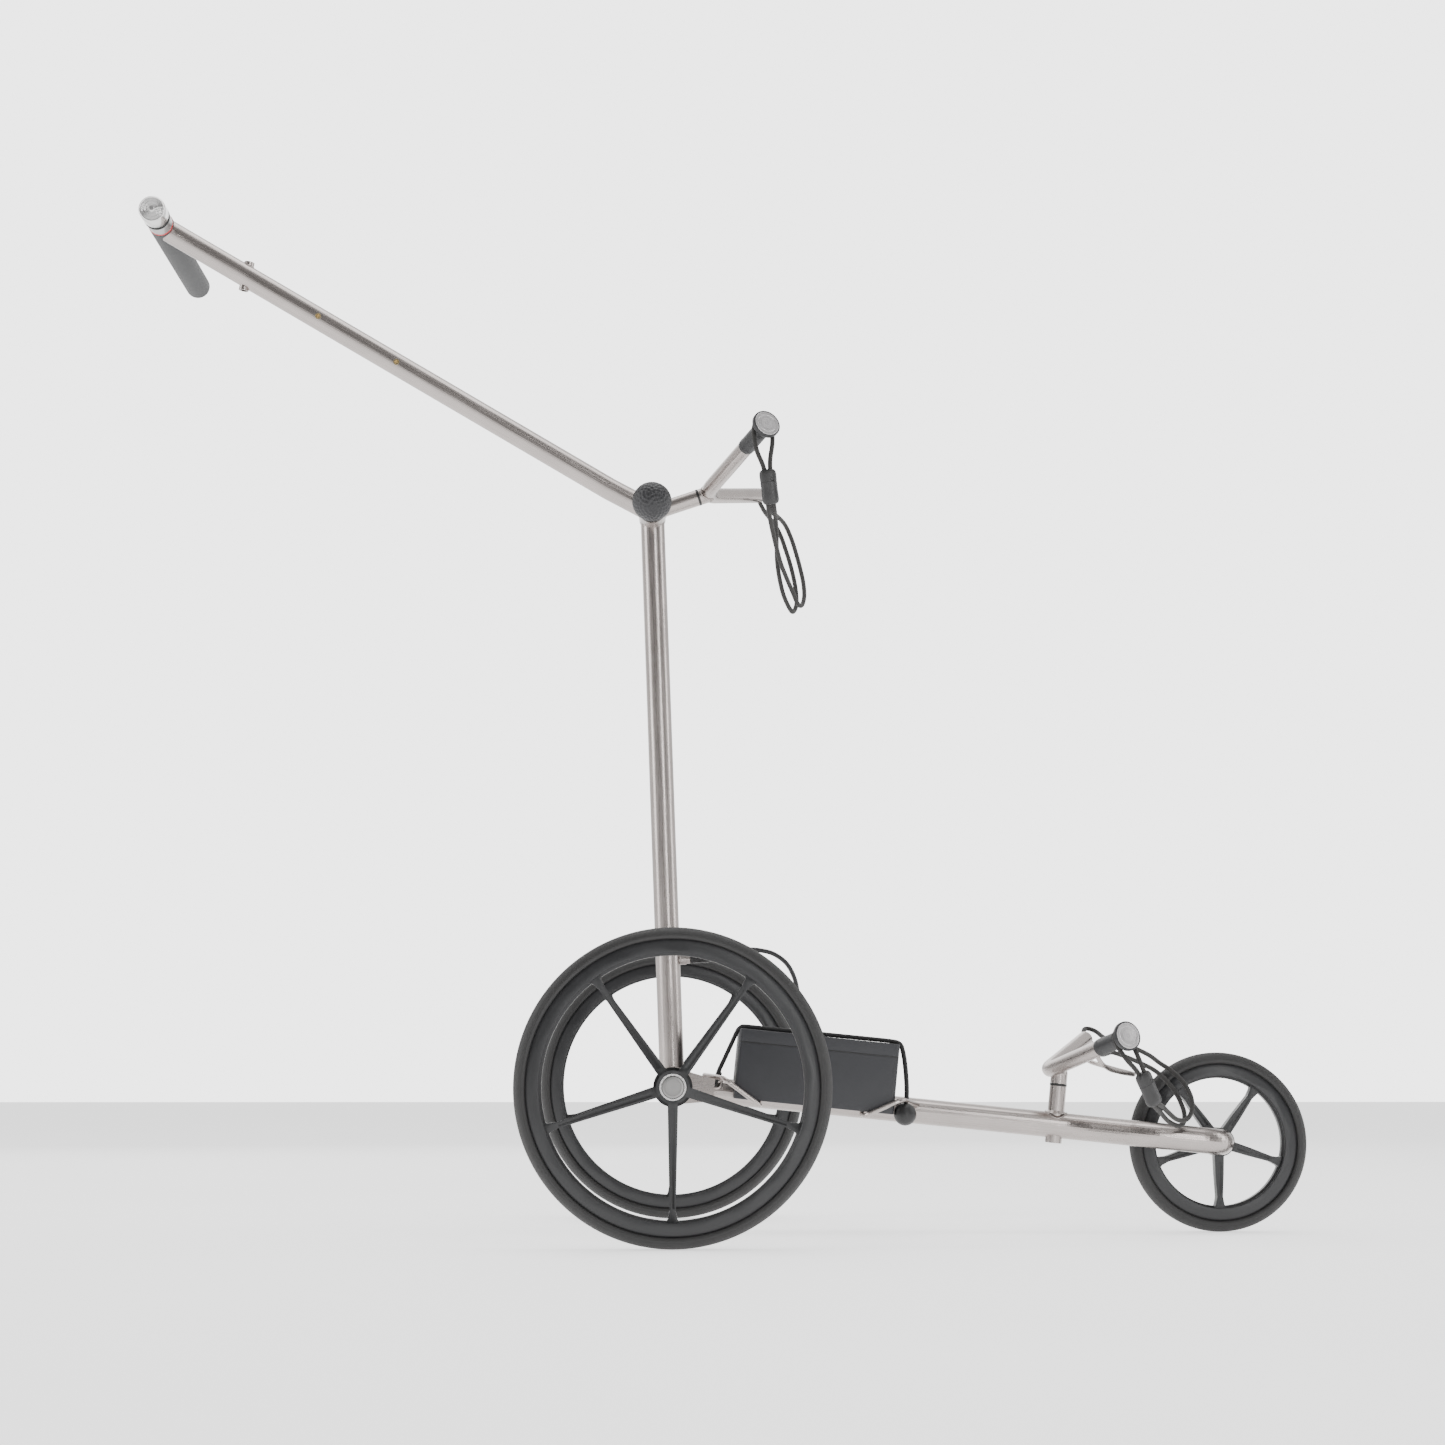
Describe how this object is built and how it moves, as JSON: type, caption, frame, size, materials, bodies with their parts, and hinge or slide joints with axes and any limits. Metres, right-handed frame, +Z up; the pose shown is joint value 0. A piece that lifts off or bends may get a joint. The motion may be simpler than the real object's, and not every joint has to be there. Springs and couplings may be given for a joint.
{
  "type": "electric golf push cart",
  "caption": "Electric golf cart to push, with a brushed titanium frame, folding handle, spoked wheels, bag forks with bungee cords and a strapped battery; shown without a bag.",
  "frame": {"origin": "on the ground, in the plane midway between the rear wheels, under the middle of the cart's length", "axes": "+X forward, towards the front wheel; +Y to the left of someone who pushes it; +Z up"},
  "size_m": [1.2426, 0.616, 1.0928],
  "materials": {
    "titanium": "brushed along each tube, warm grey",
    "bright_metal": "turned and polished",
    "collar_metal": "satin grey",
    "satin_disc": "satin, with a thin engraved circle",
    "bolt_steel": "plain",
    "bearing_steel": "ground",
    "motor_steel": "plain",
    "insert_brass": "plain",
    "battery_plastic": "fine grain, satin",
    "black_plastic": "satin",
    "knob_plastic": "satin, dimpled",
    "lock_plastic": "satin",
    "wheel_plastic": "satin",
    "red_plastic": "gloss",
    "circuit_board": "plain",
    "cell_wrap": "shrink wrap",
    "grip_foam": "soft, slightly fuzzy",
    "sleeve_rubber": "satin",
    "ring_rubber": "satin",
    "lead_rubber": "satin, ribbed",
    "strap_elastic": "round woven elastic",
    "cord_fabric": "knitted round bungee",
    "tyre_rubber": "finely ribbed"
  },
  "bodies": {
    "chassis": {"lower_tube": "titanium", "axle_ears": "titanium", "axle_tube": "titanium", "drive_motors": "motor_steel", "axle_bearings": "bearing_steel", "lower_socket": "titanium", "cradle_rear": "titanium", "cradle_front": "titanium", "battery_case": "battery_plastic", "battery_lid": "battery_plastic", "battery_cells": "cell_wrap", "lead_gland": "black_plastic", "battery_strap": "strap_elastic", "strap_ball": "black_plastic", "battery_lead": "lead_rubber", "front_axle": "bolt_steel"},
    "mast": {"main_tube": "titanium", "mast_barrel": "titanium", "hinge_bolt": "bolt_steel", "upper_socket": "titanium", "lead_socket": "titanium", "lead_plug": "black_plastic"},
    "handle": {"handle_tube": "titanium", "handle_barrel": "titanium", "cross_bar": "bright_metal", "grip": "grip_foam", "grip_collar": "collar_metal", "red_ring": "red_plastic", "accessory_sleeve": "titanium", "thread_inserts": "insert_brass", "speed_sensor": "circuit_board"},
    "dial": {"speed_dial": "bright_metal", "dial_rings": "ring_rubber"},
    "knob": {"hinge_knob": "knob_plastic"},
    "upper_pull": {"upper_ring": "ring_rubber"},
    "upper_fork": {"upper_fork": "titanium", "upper_sleeves": "sleeve_rubber", "upper_disc": "satin_disc", "upper_cord": "cord_fabric", "upper_cord_lock": "lock_plastic"},
    "lower_pull": {"lower_ring": "ring_rubber"},
    "lower_fork": {"lower_fork": "titanium", "lower_sleeves": "sleeve_rubber", "lower_disc": "satin_disc", "foot_rest": "titanium", "lower_cord": "cord_fabric", "lower_cord_lock": "lock_plastic"},
    "drive_right": {"coupler_right": "black_plastic"},
    "drive_left": {"coupler_left": "black_plastic"},
    "wheel_right": {"rim_right": "wheel_plastic", "tyre_right": "tyre_rubber", "hub_ring_right": "bright_metal"},
    "wheel_left": {"rim_left": "wheel_plastic", "tyre_left": "tyre_rubber", "hub_ring_left": "bright_metal"},
    "button_right": {"hub_trim_right": "satin_disc"},
    "button_left": {"hub_trim_left": "satin_disc"},
    "front_wheel": {"front_rim": "wheel_plastic", "front_tyre": "tyre_rubber", "front_bearing": "bearing_steel"}
  },
  "joints": [
    {"name": "mast_fold", "type": "hinge", "parent": "chassis", "child": "mast", "pos_m": [-0.05074, 0, 0.1525], "axis": [0, 1, 0], "range_deg": [0, 30], "deforming": ["battery_lead"]},
    {"name": "handle_fold", "type": "hinge", "parent": "mast", "child": "handle", "pos_m": [-0.07389, -0.026, 0.76606], "axis": [0, -1, 0], "range_deg": [0, 117]},
    {"name": "dial_turn", "type": "hinge", "parent": "handle", "child": "dial", "pos_m": [-0.60706, -0.076, 1.07861], "axis": [0, 1, 0], "range_deg": [0, 270]},
    {"name": "knob_turn", "type": "hinge", "parent": "handle", "child": "knob", "pos_m": [-0.07389, -0.078, 0.76606], "axis": [0, -1, 0], "range_deg": [0, 360]},
    {"name": "upper_pull_out", "type": "slide", "parent": "mast", "child": "upper_pull", "axis": [0.948, -0.0265, 0.3173], "range_m": [0, 0.022]},
    {"name": "upper_swivel", "type": "hinge", "parent": "upper_pull", "child": "upper_fork", "pos_m": [-0.02507, -0.00136, 0.7864], "axis": [0.948, -0.0265, 0.3173], "range_deg": [-15, 15]},
    {"name": "lower_pull_out", "type": "slide", "parent": "chassis", "child": "lower_pull", "axis": [0.1006, -0.0332, 0.9944], "range_m": [0, 0.022]},
    {"name": "lower_swivel", "type": "hinge", "parent": "lower_pull", "child": "lower_fork", "pos_m": [0.35856, -0.00138, 0.15276], "axis": [0.1006, -0.0332, 0.9944], "range_deg": [-5, 5]},
    {"name": "drive_spin_right", "type": "hinge", "parent": "chassis", "child": "drive_right", "pos_m": [-0.05074, -0.26, 0.1525], "axis": [0, 1, 0], "continuous": true},
    {"name": "wheel_pull_right", "type": "slide", "parent": "drive_right", "child": "wheel_right", "axis": [0, -1, 0], "range_m": [0, 0.045]},
    {"name": "button_press_right", "type": "slide", "parent": "wheel_right", "child": "button_right", "axis": [0, 1, 0], "range_m": [0, 0.003], "stiffness_N_per_m": 800, "springref_m": -0.001},
    {"name": "drive_spin_left", "type": "hinge", "parent": "chassis", "child": "drive_left", "pos_m": [-0.05074, 0.26, 0.1525], "axis": [0, 1, 0], "continuous": true},
    {"name": "wheel_pull_left", "type": "slide", "parent": "drive_left", "child": "wheel_left", "axis": [0, 1, 0], "range_m": [0, 0.045]},
    {"name": "button_press_left", "type": "slide", "parent": "wheel_left", "child": "button_left", "axis": [0, -1, 0], "range_m": [0, 0.003], "stiffness_N_per_m": 800, "springref_m": -0.001},
    {"name": "front_spin", "type": "hinge", "parent": "chassis", "child": "front_wheel", "pos_m": [0.52726, 0, 0.094], "axis": [0, 1, 0], "continuous": true}
  ]
}
